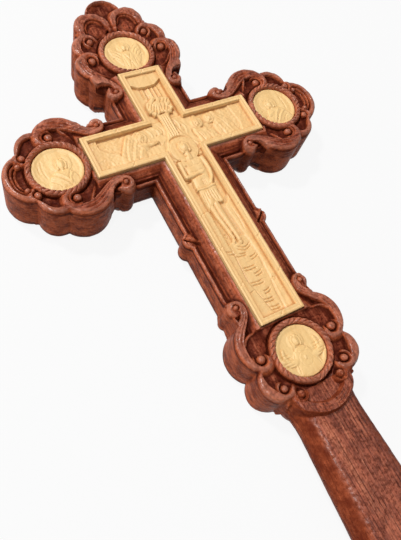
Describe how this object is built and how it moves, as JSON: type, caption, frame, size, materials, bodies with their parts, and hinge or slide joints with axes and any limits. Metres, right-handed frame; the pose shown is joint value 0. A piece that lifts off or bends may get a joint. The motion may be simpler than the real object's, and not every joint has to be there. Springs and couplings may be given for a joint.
{
  "type": "blessing cross",
  "caption": "Hand-held blessing cross of carved dark wood with scrolled heads, a light wood relief panel and round plaques on both faces, and a flared handle.",
  "frame": {"origin": "middle of the cross's bounding box, on the plane that its back rope rings rest on", "axes": "+Z out of the front, +Y from the handle to the top head, +X to the cross's right as the front is seen"},
  "size_m": [0.148, 0.3324, 0.0214],
  "materials": {
    "dark_wood": "satin",
    "inlay_wood": "satin",
    "medallion_wood": "satin"
  },
  "bodies": {
    "root": {"upright": "dark_wood", "crossbar": "dark_wood", "front_inlay": "inlay_wood", "front_top_medallion": "medallion_wood", "front_lower_medallion": "medallion_wood", "front_left_medallion": "medallion_wood", "front_right_medallion": "medallion_wood", "back_inlay": "inlay_wood", "back_top_medallion": "medallion_wood", "back_lower_medallion": "medallion_wood", "back_left_medallion": "medallion_wood", "back_right_medallion": "medallion_wood"}
  },
  "joints": []
}
